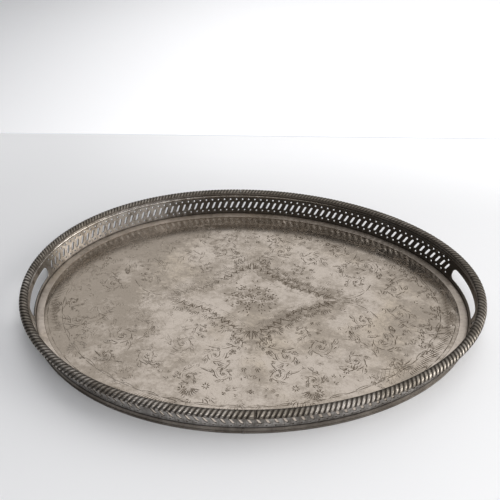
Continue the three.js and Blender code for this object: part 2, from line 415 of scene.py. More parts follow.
def strip_sheet(start, end):
    """The flat sheet of one gallery length, from its cells: joined points and triangles."""
    pitch = GIRTH / UNIT_COUNT
    slot_half = (SLOT_WIDTH + SLOT_LEAN) / 2
    hole_places = [GALLERY_TURN + k * GIRTH / 2 for k in range(5)]
    middles = []
    for unit in range(2 * UNIT_COUNT):
        middle = GALLERY_TURN + unit * pitch
        in_strip = middle - slot_half > start + pitch / 8 and middle + slot_half < end - pitch / 8
        to_hole = min(abs(middle - place) for place in hole_places)
        if in_strip and to_hole > HAND_HOLE_LENGTH / 2 + slot_half + PLAIN_MARGIN / 2:
            middles.append(middle)
    spans = []
    for middle in middles:
        holes = [lambda g, m=middle: slot_ring(m, g)]
        holes += [lambda g, m=middle, p=p: dot_ring(m, p, g) for p in DOT_PLACES]
        spans.append((middle - pitch / 2, middle + pitch / 2, holes))
    for place in hole_places:
        if start < place < end:
            reach = HAND_HOLE_LENGTH / 2 + HAND_HOLE_WEB
            hole = [lambda g, m=place: hand_hole_ring(m, g)]
            spans.append((place - reach, place + reach, hole))
    spans.sort(key=lambda span: span[0])
    full, at = [], start
    for low, high, holes in spans:
        low, high = max(low, start), min(high, end)
        if low - at > SLIVER:
            full.append((at, low, []))
        else:
            low = at
        full.append((low, high, holes))
        at = high
    if end - at > SLIVER:
        full.append((at, end, []))
    points, tris = [], []
    for low, high, holes in full:
        pieces = 1 if holes else max(1, round((high - low) / WEB_STEP))
        for k in range(pieces):
            ends = (low + (high - low) * j / pieces for j in (k, k + 1))
            flat, faces = cell(*ends, holes)
            first = len(points)
            points += flat
            tris += [[first + i for i in tri] for tri in faces]
    points = np.array(points)
    tris = np.array(tris)
    keys = np.round(points[:, :2] * 1000).astype(np.int64)
    _, first_of, joined = np.unique(keys, axis=0, return_index=True, return_inverse=True)
    tris = joined.reshape(-1)[tris]
    whole = np.all(tris != np.roll(tris, 1, axis=1), axis=1)
    return points[first_of], tris[whole]


def gallery_strip(name, start, end, material):
    flat, tris = strip_sheet(start, end)
    # Every triangle runs the same way round.
    a, b, c = (flat[tris[:, k], :2] for k in range(3))
    turn = (b[:, 0] - a[:, 0]) * (c[:, 1] - a[:, 1]) - (b[:, 1] - a[:, 1]) * (c[:, 0] - a[:, 0])
    tris[turn < 0] = tris[turn < 0][:, ::-1]
    along, height, cut = flat.T
    relief = np.interp(height, ROWS, RELIEF)
    outer = on_oval(along, gallery_outer(height) + relief - HOLE_CHAMFER * cut, height)
    inner = on_oval(along, gallery_inner(height) - relief + HOLE_CHAMFER * cut, height)
    count = len(flat)
    directed = np.concatenate([tris[:, [0, 1]], tris[:, [1, 2]], tris[:, [2, 0]]])
    seen = set(map(tuple, directed.tolist()))
    rim = sorted((p, q) for p, q in seen if (q, p) not in seen)
    faces = tris.tolist() + (tris[:, ::-1] + count).tolist()
    faces += [[p + count, q + count, q, p] for p, q in rim]
    # Painted shade: darker on the holes' chamfers, in the mouldings' hollows, under the rim and
    # low down by the foot, and lighter on the mouldings' beads.
    shade = 0.35 + 0.45 * cut + 0.6 * (relief < -0.05) - 0.25 * (relief > 0.25)
    shade = shade + smooth(32.6, 33.2, height) + smooth(8.2, 6.2, height)
    shade = np.clip(shade, 0, 1)
    points, patina_and_painted_light = np.concatenate([outer, inner]), np.concatenate([shade, shade])
    return make_piece(name, points, faces, patina_and_painted_light, material, smooth_over=32)


# ---------------------------------------------------------------- engraving

ENGRAVING_CENTRE = (3.0, 3.0)
CARTOUCHE = (80.0, 50.0)  # reach of its points along and across
CARTOUCHE_WAIST = (26.0, 15.0)  # where its hollow sides are drawn in to
CUT_DEPTH = 0.11
FIELD_MARGIN = 1.6

# Scrolls of one quarter of the pattern: place from the centre, radius, start in degrees and turns.
SCROLLS = (
    (14, 69, 9.0, -70, 1.5),
    (37, 87, 12.5, 200, -1.4),
    (72, 72, 14.0, -30, 1.5),
    (107, 90, 13.0, 150, -1.5),
    (138, 62, 16.0, -60, 1.6),
    (163, 20, 13.5, 100, -1.5),
    (190, 42, 11.0, -20, 1.4),
    (203, 13, 8.5, 170, -1.3),
    (62, 117, 11.0, -100, 1.4),
    (150, 92, 9.0, 20, 1.3),
    (181, 68, 8.0, 120, -1.3),
    (27, 112, 9.5, -20, 1.4),
    (122, 32, 10.0, 210, -1.4),
    (54, 51, 8.5, 110, -1.4),
)
# Start, end and how far each arc stands off its chord.
LONG_ARCS = (
    ((157, 25), (214, 38), 0.16),
    ((160, 31), (209, 47), 0.18),
    ((84, 6), (140, 30), -0.22),
    ((8, 60), (48, 74), 0.25),
    ((96, 60), (130, 86), -0.2),
    ((20, 96), (52, 104), 0.3),
    ((128, 100), (165, 84), 0.15),
)
STARS = (  # place and radius
    (67, 133, 5.5), (180, 55, 5.0), (96, 104, 4.0), (112, 62, 4.0), (44, 128, 4.5), (150, 42, 3.5),
)
SHELLS = ((60, 130, 95, 11), (182, 84, 25, 12), (214, 22, 0, 11))  # place, direction and radius
DIAPER = (142, 104, 22, 10, -28)  # place, half length, half width and direction
HATCH_STEP = 5.0
FILL_REACH = (226.0, 158.0)
FILL_FEATHERS = 112
RIB_STEP = 0.8  # of the bed's stations
CARTOUCHE_MARGIN = 7
SWAGS = 44
BOUQUET = (5.0, 5.0)
BOUQUET_STRETCH = 1.1
PITS = ((-190, -62, 1.0), (26, -102, 0.9), (29, -103, 0.7), (109, -112, 0.8), (-172, 70, 0.6))


class Engraving:
    """Cuts in the field of the bed: pointed strokes, deepest and darkest along the middle."""

    def __init__(self, outline):
        self.points = [tuple(p) for p in outline]
        count = len(outline)
        self.edges = [(k, (k + 1) % count) for k in range(count)]
        self.cuts = [(0.0, 0.0)] * count
        angle = np.arctan2(outline[:, 1], outline[:, 0])
        order = np.argsort(angle)
        self.angles, self.radii = angle[order], np.hypot(*outline.T)[order]
        self.draw = np.random.RandomState(11)
        self.spines = []  # middle line of each stroke: places, half widths, depths and tones

    def room(self, path):
        """About how far points are from the edge of the field."""
        turn = np.arctan2(path[:, 1], path[:, 0])
        return np.interp(turn, self.angles, self.radii, period=2 * math.pi) - np.hypot(*path.T)

    def left(self, x, y):
        """How much of a cut polishing has left: least over the left half."""
        share = 0.58 + 0.42 * float(smooth(-110, 25, x - 0.25 * y))
        cloud = math.sin(0.043 * x + 1.1) * math.sin(0.057 * y - 0.4)
        cloud += 0.6 * math.sin(0.09 * x - 0.11 * y)
        return min(1.0, max(0.25, share + 0.2 * cloud))

    def stroke(self, path, width, tone=1.0):
        path = np.asarray(path, float)
        if self.room(path).min() < FIELD_MARGIN:
            return
        count = len(path)
        run = np.gradient(path, axis=0)
        run /= np.maximum(np.linalg.norm(run, axis=1), 1e-9)[:, None]
        side = np.stack([-run[:, 1], run[:, 0]], axis=1)
        half = width / 2 * np.sin(math.pi * np.linspace(0, 1, count)) ** 0.8
        kept = self.left(*path[count // 2])
        dark = tone * kept
        half = half * (0.55 + 0.45 * kept)
        deep = CUT_DEPTH * min(1.0, width) * (0.5 + 0.5 * kept)
        left, right = path + side * half[:, None], path - side * half[:, None]
        self.spines.append((path, half, deep, dark))
        first = len(self.points)
        self.points.append(tuple(path[0]))
        self.cuts.append((0.0, dark))
        before = (first, first, first)
        for k in range(1, count - 1):
            at = len(self.points)
            self.points += [tuple(left[k]), tuple(path[k]), tuple(right[k])]
            self.cuts += [(0.0, dark), (deep, dark), (0.0, dark)]
            now = (at, at + 1, at + 2)
            self.edges += list(zip(before, now))
            before = now
        at = len(self.points)
        self.points.append(tuple(path[-1]))
        self.cuts.append((0.0, dark))
        self.edges += [(b, at) for b in before]

    def plumb(self):
        """Readies the look-up that `depth_at` uses."""
        self.runs = [
            (*path[k], *path[k + 1], half[k], half[k + 1], deep, tone)
            for path, half, deep, tone in self.spines
            for k in range(len(path) - 1)
        ]
        self.tree = KDTree(len(self.runs))
        for i, run in enumerate(self.runs):
            self.tree.insert(((run[0] + run[2]) / 2, (run[1] + run[3]) / 2, 0), i)
        self.tree.balance()

    def depth_at(self, x, y):
        """Depth and tone of the cuts at a place where strokes cross."""
        best = (0.0, 0.0)
        for _, i, _ in self.tree.find_n((x, y, 0), 6):
            ax, ay, bx, by, half_a, half_b, deep, tone = self.runs[i]
            ux, uy = bx - ax, by - ay
            t = ((x - ax) * ux + (y - ay) * uy) / max(ux * ux + uy * uy, 1e-9)
            t = min(1.0, max(0.0, t))
            off = math.hypot(x - ax - t * ux, y - ay - t * uy)
            half = half_a + (half_b - half_a) * t
            if off < half * 1.02:
                best = max(best, (deep * max(0.0, 1 - off / half), tone))
        return best

    def quarters(self, path, width, tone=1.0):
        """The same stroke in all four quarters of the pattern."""
        path = np.asarray(path, float)
        for sx, sy in ((1, 1), (-1, 1), (-1, -1), (1, -1)):
            slip = self.draw.uniform(-0.25, 0.25, 2)
            self.stroke(path * (sx, sy) + ENGRAVING_CENTRE + slip, width, tone)

    def line(self, path, width, run, tone=1.0):
        """A long line, cut in short overlapping strokes."""
        path = np.asarray(path, float)
        arc = np.concatenate([[0], np.cumsum(np.linalg.norm(np.diff(path, axis=0), axis=1))])
        strokes = max(1, round(arc[-1] / run))
        for k in range(strokes):
            low, high = arc[-1] * k / strokes, arc[-1] * (k + 0.96) / strokes
            at = np.linspace(low, high, 5)
            piece = np.stack([np.interp(at, arc, path[:, i]) for i in (0, 1)], axis=1)
            self.quarters(piece, width, tone)


def bend(start, end, bulge, count=6):
    """An arc from start to end that stands off its chord by a share of its length."""
    start, end = np.array(start, float), np.array(end, float)
    t = np.linspace(0, 1, count)[:, None]
    side = np.array([-(end - start)[1], (end - start)[0]])
    return start + (end - start) * t + side * bulge * 4 * t * (1 - t)


def toward(place, degrees, length):
    a = math.radians(degrees)
    return (place[0] + length * math.cos(a), place[1] + length * math.sin(a))


def spiral(place, radius, start, turns):
    t = np.linspace(0, 1, 60)
    a = math.radians(start) + 2 * math.pi * turns * t
    r = radius * (1 - 0.8 * t**0.8)
    return np.stack([place[0] + r * np.cos(a), place[1] + r * np.sin(a)], axis=1)


def leaf(art, place, degrees, length, width, curl, tone=1.0):
    """A leaf of two curved edges and a rib, hatched on one side."""
    tip = toward(place, degrees, length)
    low, high = bend(place, tip, curl - width), bend(place, tip, curl + width)
    rib = bend(place, tip, curl)
    art.quarters(low, 1.0, tone)
    art.quarters(high, 0.8, tone)
    art.quarters(rib[1:5], 0.6, tone)
    for k in range(1, 3):
        art.quarters(bend(rib[k], low[k + 1] * 0.75 + rib[k + 1] * 0.25, 0.05, 3), 1.0, tone)


def feather(art, place, degrees, size, ribs, spread, hand, width):
    """Fine curved cuts that fan out from one place, longest in the middle."""
    for k in range(ribs):
        share = (k - (ribs - 1) / 2) / max(1, ribs - 1)
        reach = size * (1 - 1.3 * share * share)
        start = toward(place, degrees + spread * share, size * 0.18)
        end = toward(place, degrees + spread * share + 10 * hand, reach)
        art.quarters(bend(start, end, 0.14 * hand, 4), width, 0.95)


def blade(art, place, degrees, length, curl, width, tone=1.0):
    art.quarters(bend(place, toward(place, degrees, length), curl, 5), width, tone)


def scroll(art, x, y, radius, start, turns):
    """A spiral stem of two lines with leaves on its outer side and a small flower in its eye."""
    path = spiral((x, y), radius, start, turns)
    art.line(path, 1.3, 12.0, 1.1)
    art.line(spiral((x, y), radius * 0.84, start, turns * 0.5), 0.6, 9.0, 1.0)
    hand = 1 if turns > 0 else -1
    for k in range(2, 40, 9):
        out = math.degrees(math.atan2(path[k][1] - y, path[k][0] - x))
        size = radius * 0.85 * (1 - k / 90)
        leaf(art, tuple(path[k]), out - 52 * hand, size, 0.2, 0.16 * hand)
        blade(art, tuple(path[k + 3]), out - 30 * hand, size * 0.55, 0.14 * hand, 1.3)
    for k in range(6):
        blade(art, (x, y), start + 60 * k, radius * 0.24, 0.1, 1.1)


def star(art, x, y, radius):
    for k in range(8):
        a = 45 * k + 10
        blade(art, toward((x, y), a, radius * 0.22), a, radius * 0.78, 0.0, 1.5)


def shell(art, x, y, degrees, radius):
    """A fan of ribs that opens towards the edge of the field."""
    for k in range(-4, 5):
        a = degrees + 15 * k
        blade(art, toward((x, y), a, radius * 0.25), a, radius * 0.75, 0.02 * k, 1.2)
        blade(art, toward((x, y), a + 7, radius * 0.7), a + 7, radius * 0.38, 0.0, 0.7)


def diaper(art, x, y, half_long, half_wide, degrees):
    """A panel of crossed hatching inside an oval."""
    cos, sin = math.cos(math.radians(degrees)), math.sin(math.radians(degrees))
    turn = np.array([[cos, -sin], [sin, cos]])
    a2, b2 = half_long**2, half_wide**2
    for slope in (1, -1):
        for k in range(-12, 13):
            # A line u = v * slope + c across an oval with these half axes.
            c = k * HATCH_STEP
            under = a2 + b2 - c * c
            if under <= 4:
                continue
            root = math.sqrt(a2 * b2 * under) / (a2 + b2)
            middle = -c * slope * b2 / (a2 + b2)
            ends = [(slope * v + c, v) for v in (middle - root, middle + root)]
            start, end = (np.array(e) @ turn.T + (x, y) for e in ends)
            art.quarters(bend(start, end, 0.0, 4), 0.6, 0.8)


def cartouche(art):
    """The plain ground's two outlines, foliage outside them and sprays at the points."""
    along, across = CARTOUCHE
    t = np.linspace(0, 1, 40)[:, None]
    a, b, c = (np.array(p, float) for p in ((along, 0), CARTOUCHE_WAIST, (0, across)))
    side = a * (1 - t) ** 2 + 2 * b * t * (1 - t) + c * t**2
    art.line(side, 0.6, 8.0)
    art.line(side * 1.03 + (0.8, 0.8), 0.4, 6.0, 0.8)
    # Hatched foliage that hangs outwards from the hollow sides.
    for k in range(1, 39, 2):
        run = side[k + 1] - side[k - 1]
        out = math.degrees(math.atan2(-run[0], run[1]))
        size = 11.0 + 3.0 * math.sin(k * 0.9) + art.draw.uniform(-2.5, 4.0)
        place = toward(tuple(side[k] * 1.04 + 1.2), out, art.draw.uniform(0.0, 5.0))
        if k % 4 == 1:
            leaf(art, place, out - 32, size, 0.22, 0.12, 1.3)
        else:
            blade(art, place, out - 38, size * 0.8, 0.15, 2.0, 1.3)
            blade(art, place, out + 30, size * 0.7, -0.15, 1.8, 1.2)
        feather(art, toward(place, out, size * 0.8), out - 12, size * 0.7, 4, 70, 1.0, 1.0)
    for k in range(4):
        blade(art, (along + 1.5, 0.4), 20 * k, 17 - 1.5 * k, 0.12, 1.3)
        blade(art, (0.4, across + 1.5), 90 - 20 * k, 14 - 1.5 * k, -0.12, 1.3)


def in_bouquet(radius, angle):
    x, y = BOUQUET
    return x + BOUQUET_STRETCH * radius * math.cos(angle), y + radius * math.sin(angle)


def bouquet(art):
    """The dark cluster of small flowers and leaves in the middle of the cartouche."""
    golden = math.pi * (3 - math.sqrt(5))
    flowers, leaves = 18, 44
    for k in range(flowers):
        a = k * golden + art.draw.uniform(-0.2, 0.2)
        place = in_bouquet(21 * math.sqrt(k / flowers), a)
        size, turn = art.draw.uniform(3.0, 4.4), art.draw.uniform(0, 90)
        for petal in range(5):
            out = turn + 72 * petal + art.draw.uniform(-9, 9)
            start = toward(place, out, size * 0.25)
            path = bend(start, toward(place, out, size), art.draw.uniform(-0.15, 0.15), 5)
            art.stroke(path, art.draw.uniform(1.5, 2.4), 1.3)
    for _ in range(leaves):
        a, r = art.draw.uniform(0, 2 * math.pi), art.draw.uniform(15, 29)
        place = in_bouquet(r, a)
        out = math.degrees(a) + art.draw.uniform(-35, 35)
        path = bend(place, toward(place, out, 3.6), 0.15, 4)
        art.stroke(path, art.draw.uniform(1.2, 2.3), 1.35)


def pits(art):
    """Small dark knocks: three short cuts crossed in each."""
    for x, y, size in PITS:
        for out in (0, 60, 120):
            start, end = toward((x, y), out, size), toward((x, y), out + 180, size)
            art.stroke(bend(start, end, 0.04, 5), 1.3 * size, 2.2)


def border_band(art, outline):
    """A ribbed band between two lines that follow the edge of the field, with swags inside it."""
    count = len(outline)
    for at in np.arange(0, count, RIB_STEP):
        low, share = int(at), at % 1
        turn = 2 * math.pi * at / count
        if math.sin(4 * turn + 2.3) < -0.4:
            continue
        edge = outline[low] * (1 - share) + outline[(low + 1) % count] * share
        ahead = outline[(low + 2) % count] * (1 - share) + outline[(low + 3) % count] * share
        deep = 0.928 + 0.012 * math.sin(16 * turn)
        outer, inner = edge * 0.98, (edge * 0.55 + ahead * 0.45) * deep
        art.stroke([outer, (outer + inner) / 2 - (ahead - edge) * 0.08, inner], 1.6, 1.4)
    for k in range(SWAGS):
        low, high = (int(round(count * (k + j) / SWAGS)) % count for j in (0.04, 0.96))
        dip = outline[(low + (high - low) % count // 2) % count] * 0.885
        start, end = outline[low] * 0.92, outline[high] * 0.92
        t = np.linspace(0, 1, 6)[:, None]
        art.stroke(start * (1 - t) ** 2 + 2 * dip * t * (1 - t) + end * t**2, 0.9, 0.9)
    for share in (0.985, 0.915):
        for k in range(0, count, 5):
            art.stroke(outline[np.arange(k, k + 6) % count] * share, 1.0, 1.1)


def in_cartouche(x, y):
    """Whether a place in a quarter is on the plain ground round the bouquet."""
    along, across = (half + CARTOUCHE_MARGIN for half in CARTOUCHE)
    return (abs(x) / along) ** 0.8 + (abs(y) / across) ** 0.8 < 1.0


def fill(art):
    """Feathered cuts that swirl through the ground between the scrolls."""
    made = 0
    while made < FILL_FEATHERS:
        x, y = (art.draw.uniform(0, reach) for reach in FILL_REACH)
        off = (x / FILL_REACH[0]) ** 2 + (y / FILL_REACH[1]) ** 2
        if in_cartouche(x, y) or off > 1:
            continue
        if any(math.hypot(x - a, y - b) < 1.05 * r for a, b, r, _, _ in SCROLLS):
            continue
        made += 1
        swirl = 80 * math.sin(0.052 * x + 0.9) + 95 * math.sin(0.061 * y - 0.4)
        swirl += 40 * math.sin(0.05 * (x - y))
        size = art.draw.uniform(4.5, 11.5)
        hand = 1.0 if art.draw.rand() < 0.5 else -1.0
        ribs, width = art.draw.randint(2, 5), art.draw.uniform(0.7, 1.3)
        feather(art, (x, y), swirl, size, ribs, 60, hand, width)


def engrave(outline):
    art = Engraving(outline)
    cartouche(art)
    bouquet(art)
    pits(art)
    for row in SCROLLS:
        scroll(art, *row)
    for start, end, bulge in LONG_ARCS:
        art.line(bend(start, end, bulge, 20), 1.1, 16.0, 1.1)
        art.line(bend(start, end, bulge * 0.75, 20), 0.6, 12.0, 0.9)
    for row in STARS:
        star(art, *row)
    for row in SHELLS:
        shell(art, *row)
    diaper(art, *DIAPER)
    border_band(art, outline)
    fill(art)
    return art


# ---------------------------------------------------------------- bed

BED_STATIONS = 360
UNDERSIDE_RINGS = (0.8, 0.6, 0.4, 0.2)  # shares of the field
UNDERSIDE_PATINA = 0.4


def bed(material):
    edge = gallery_inner(BED_BORDER_HEIGHT) - SEAM
    border_inner = gallery_inner(BED_BORDER_HEIGHT) - BED_BORDER_WIDTH
    border_low = BED_BORDER_HEIGHT - BED_BORDER_FALL
    field_edge = border_inner - BED_STEP_RUN
    field = BED_FIELD
    under = field - BED_SHEET
    place = np.arange(BED_STATIONS) * GIRTH / BED_STATIONS
    outline = on_oval(place, field_edge, field)[:, :2]
    art = engrave(outline)
    made = delaunay_2d_cdt([Vector(p) for p in art.points], art.edges, [], 0, 1e-5)
    verts, tris, origins = made[0], made[2], made[3]
    place_of = {i: k for k, origin in enumerate(origins) for i in origin}
    art.plumb()
    cuts = [
        max(art.cuts[i] for i in origin) if origin else art.depth_at(v.x, v.y)
        for v, origin in zip(verts, origins)
    ]
    top = [(v.x, v.y, field - cut[0]) for v, cut in zip(verts, cuts)]
    patina_and_painted_light = [cut[1] for cut in cuts]
    faces = [list(t) for t in tris]
    flat = len(faces)
    ring_before = [place_of[k] for k in range(BED_STATIONS)]
    # The profile's third column paints shade as well as patina: darkest at the foot of the step
    # round the field and where the border turns down beside the gallery.
    profile = [  # out, height and patina, over the border and back under it
        (field_edge + 0.18, field + 0.03, 1.0),
        (field_edge + 0.36, field + 0.35, 0.9),
        (border_inner, border_low - 0.06, 0.5),
        (border_inner + 0.25, border_low, 0.0),
        (border_inner + 0.8, border_low + 0.06, 0.0),
        (edge - 3.0, border_low + 0.42, 0.05),
        (edge - 0.5, BED_BORDER_HEIGHT - 0.04, 0.2),
        (edge, BED_BORDER_HEIGHT - 0.15, 0.6),
        (gallery_inner(4.4) - SEAM, 4.4, 1.0),
        (border_inner, border_low - BED_SHEET, 0.6),
        (field_edge, under, UNDERSIDE_PATINA),
    ]

    def join_ring(points, dark):
        nonlocal ring_before
        now = list(range(len(top), len(top) + BED_STATIONS))
        top.extend(points)
        patina_and_painted_light.extend([dark] * BED_STATIONS)
        for k in range(BED_STATIONS):
            n = (k + 1) % BED_STATIONS
            faces.append([ring_before[n], ring_before[k], now[k], now[n]])
        ring_before = now

    for out, height, dark in profile:
        join_ring(on_oval(place, out, height).tolist(), dark)
    for share in UNDERSIDE_RINGS:
        ring = [(x * share, y * share, under) for x, y in outline.tolist()]
        join_ring(ring, UNDERSIDE_PATINA)
    top.append((0.0, 0.0, under))
    patina_and_painted_light.append(UNDERSIDE_PATINA)
    middle = len(top) - 1
    for k in range(BED_STATIONS):
        faces.append([ring_before[(k + 1) % BED_STATIONS], ring_before[k], middle])
    piece = make_piece("bed_engraved", top, faces, patina_and_painted_light, material, smooth_over=25)
    # Only the border is shaded smooth: the cuts in the field keep their crisp edges.
    shading = np.ones(len(piece.data.polygons), bool)
    shading[:flat] = False
    piece.data.polygons.foreach_set("use_smooth", shading)
    return piece


# ---------------------------------------------------------------- finishes


class Nodes:
    """Short-hand for building a material's node tree."""

    def __init__(self, name):
        self.material = bpy.data.materials.new(name)
        self.material.use_nodes = True
        self.tree = self.material.node_tree
        self.tree.nodes.clear()

    def add(self, kind, **settings):
        node = self.tree.nodes.new(kind)
        for key, value in settings.items():
            setattr(node, key, value)
        return node

    def put(self, value, socket):
        """Sets a socket to a number or a colour, or links it to another node's output."""
        if isinstance(value, (int, float)):
            socket.default_value = value
        elif isinstance(value, tuple):
            socket.default_value = (*value, 1) if socket.type == "RGBA" else value
        else:
            self.tree.links.new(value, socket)

    def place(self):
        return self.add("ShaderNodeTexCoord").outputs["Object"]

    def split(self, place):
        node = self.add("ShaderNodeSeparateXYZ")
        self.put(place, node.inputs["Vector"])
        return [node.outputs[axis] for axis in "XYZ"]

    def noise(self, place, scale, detail, roughness, stretch=None, turn=0.0):
        if stretch is not None:
            mapping = self.add("ShaderNodeMapping")
            self.put(stretch, mapping.inputs["Scale"])
            self.put((0, 0, turn), mapping.inputs["Rotation"])
            self.put(place, mapping.inputs["Vector"])
            place = mapping.outputs["Vector"]
        node = self.add("ShaderNodeTexNoise")
        values = {"Scale": scale, "Detail": detail, "Roughness": roughness, "Vector": place}
        for key, value in values.items():
            self.put(value, node.inputs[key])
        return node.outputs["Fac"]

    def span(self, value, low, high, to_low=0.0, to_high=1.0):
        node = self.add("ShaderNodeMapRange", interpolation_type="SMOOTHSTEP")
        keys = ("Value", "From Min", "From Max", "To Min", "To Max")
        for key, number in zip(keys, (value, low, high, to_low, to_high)):
            self.put(number, node.inputs[key])
        return node.outputs["Result"]

    def maths(self, operation, a, b):
        node = self.add("ShaderNodeMath", operation=operation)
        for socket, value in zip(node.inputs, (a, b)):
            self.put(value, socket)
        return node.outputs["Value"]

    def plus(self, a, b):
        return self.maths("ADD", a, b)

    def times(self, a, b):
        return self.maths("MULTIPLY", a, b)

    def mix(self, share, a, b):
        node = self.add("ShaderNodeMix", data_type="RGBA")
        self.put(share, node.inputs["Factor"])
        for key, value in (("A", a), ("B", b)):
            self.put(value, next(s for s in node.inputs if s.name == key and s.type == "RGBA"))
        return next(s for s in node.outputs if s.type == "RGBA")

    def bump(self, height, strength, distance, normal=None):
        node = self.add("ShaderNodeBump")
        values = {"Strength": strength, "Distance": distance, "Height": height, "Normal": normal}
        for key, value in values.items():
            if value is not None:
                self.put(value, node.inputs[key])
        return node.outputs["Normal"]

    def shader(self, colour, roughness, normal=None, metallic=1.0):
        bsdf = self.add("ShaderNodeBsdfPrincipled")
        output = self.add("ShaderNodeOutputMaterial")
        self.put(metallic, bsdf.inputs["Metallic"])
        for key, value in (("Base Color", colour), ("Roughness", roughness), ("Normal", normal)):
            if value is not None:
                self.put(value, bsdf.inputs[key])
        self.put(bsdf.outputs["BSDF"], output.inputs["Surface"])
        return self.material


def engraved_haze(n, x, y):
    """Worn-down work between the cuts: swirling lines, and smudges where it is closest."""
    swirl = n.noise(n.place(), 62.0, 2.5, 0.5)
    swing = n.maths("PINGPONG", n.times(swirl, 11.0), 0.5)
    lines = n.span(swing, 0.10, 0.0)
    patches = n.span(n.noise(n.place(), 38.0, 3.0, 0.6), 0.42, 0.58, 0.25, 0.75)
    lines = n.times(lines, patches)
    x = n.maths("SUBTRACT", x, ENGRAVING_CENTRE[0] * MM)
    y = n.maths("SUBTRACT", y, ENGRAVING_CENTRE[1] * MM)
    u = n.maths("DIVIDE", n.maths("ABSOLUTE", x, 0.0), CARTOUCHE[0] * MM)
    v = n.maths("DIVIDE", n.maths("ABSOLUTE", y, 0.0), CARTOUCHE[1] * MM)
    reach = n.plus(n.maths("POWER", u, 0.8), n.maths("POWER", v, 0.8))
    ragged = n.span(n.noise(n.place(), 75.0, 4.0, 0.65), 0.35, 0.65, -0.13, 0.13)
    reach = n.plus(reach, ragged)
    lines = n.times(lines, n.span(reach, 1.0, 1.1))
    band = n.times(n.span(reach, 0.98, 1.16), n.span(reach, 1.65, 1.25))
    band = n.times(band, n.span(x, -0.05, 0.04, 0.1, 0.95))
    posy = n.span(n.plus(n.maths("POWER", u, 2.0), n.maths("POWER", v, 2.0)), 0.26, 0.04)
    smudge = n.maths("MAXIMUM", band, n.times(posy, 0.75))
    grain = n.span(n.noise(n.place(), 210.0, 4.0, 0.7), 0.42, 0.58, 0.15, 1.0)
    return lines, n.times(smudge, grain)


def worn_silver(name, bright, tarnish, recess, rough, field=None, shade=None):
    """Tarnished plate: cloudy colour, dark recesses, fine scratches; tarnish is also rougher. The
    recesses follow the patina attribute, which also paints shade and highlights.
    """
    n = Nodes(name)
    place = n.place()
    cloud = n.noise(place, 17.0, 7.0, 0.66)
    streak = n.noise(place, 60.0, 6.0, 0.7, (0.8, 1.5, 1.0), 0.5)
    speck = n.noise(place, 260.0, 5.0, 0.75)
    mottle = n.plus(n.times(cloud, 0.42), n.times(streak, 0.33))
    mottle = n.plus(mottle, n.times(speck, 0.25))
    tarnish_and_shade = n.span(mottle, 0.40, 0.60)
    x, y, z = n.split(place)
    if field is not None:  # the bed is darker towards its left end, and round the edge of its field more at the back than at the front
        end = n.span(x, -0.02, -0.19, 0.0, 0.46)
        far = n.plus(n.times(x, x), n.times(n.times(y, y), 2.1))
        edge = n.span(far, 0.010, 0.048, 0.0, 0.5)
        edge = n.times(edge, n.span(y, -0.12, 0.04, 0.1, 1.0))
        rim_stain = n.times(n.span(far, 0.041, 0.053), n.span(streak, 0.40, 0.62, 0.0, 0.9))
        rim_stain = n.times(rim_stain, n.span(y, -0.10, 0.02, 0.15, 1.0))
        # The raised border keeps its polish.
        low = n.span(z, (field + 0.5) * MM, (field + 0.2) * MM)
        lift = n.maths("SUBTRACT", n.times(n.plus(end, edge), low), 0.1)
        tarnish_and_shade = n.plus(n.times(tarnish_and_shade, 0.9), lift)
        lines, smudge = engraved_haze(n, x, y)
        smudge = n.maths("MAXIMUM", smudge, n.times(rim_stain, low))
        tarnish_and_shade = n.span(n.plus(tarnish_and_shade, smudge), 0.0, 1.0)
    if shade is not None:  # painted shade: darker towards the right back, for the dim room it reflects there
        tarnish_and_shade = n.plus(tarnish_and_shade, n.span(n.plus(x, y), *shade))
        tarnish_and_shade = n.span(tarnish_and_shade, 0.0, 1.0)
    yellowed = n.span(n.noise(place, 9.0, 4.0, 0.6), 0.48, 0.68, 0.0, 0.55)
    bright = n.mix(yellowed, bright, tuple(c * t for c, t in zip(bright, (0.93, 0.88, 0.76))))
    colour = n.mix(tarnish_and_shade, bright, tarnish)
    patina_and_painted_light = n.add("ShaderNodeAttribute", attribute_name="patina_and_painted_light").outputs["Fac"]
    dark = n.span(patina_and_painted_light, 0.05, 0.95)
    if field is not None:  # on the flat of the field only the cuts are dark
        off = n.maths("ABSOLUTE", n.maths("SUBTRACT", z, field * MM), 0.0)
        dark = n.times(dark, n.span(off, 0.004 * MM, 0.03 * MM))
        worn = n.plus(n.times(lines, 0.55), n.times(smudge, 0.3))
        dark = n.maths("MAXIMUM", dark, n.times(worn, low))
    colour = n.mix(dark, colour, recess)
    roughness = n.plus(n.span(mottle, 0.3, 0.7, *rough), n.times(dark, 0.3))
    if field is not None:  # the border is duller than the field
        roughness = n.plus(roughness, n.times(n.maths("SUBTRACT", 1.0, low), 0.2))
    hair = n.noise(place, 1.0, 2.0, 0.5, (30, 1500, 30), 0.5)
    hair2 = n.noise(place, 1.0, 2.0, 0.5, (1400, 40, 40), -0.3)
    pitted = n.noise(place, 700.0, 3.0, 0.6)
    normal = n.bump(n.plus(n.plus(hair, hair2), pitted), 0.25, 0.02 * MM)
    waves = n.noise(place, 22.0, 2.0, 0.4)
    normal = n.bump(waves, 0.5, 0.6 * MM, normal)
    return n.shader(colour, roughness, normal)


# ---------------------------------------------------------------- stage

BOARD_JOINT = 0.405  # behind the tray
BOARD_GAP = 0.003
BOARD_REACH = 6.0
BOARD_TURN = math.radians(-0.4)


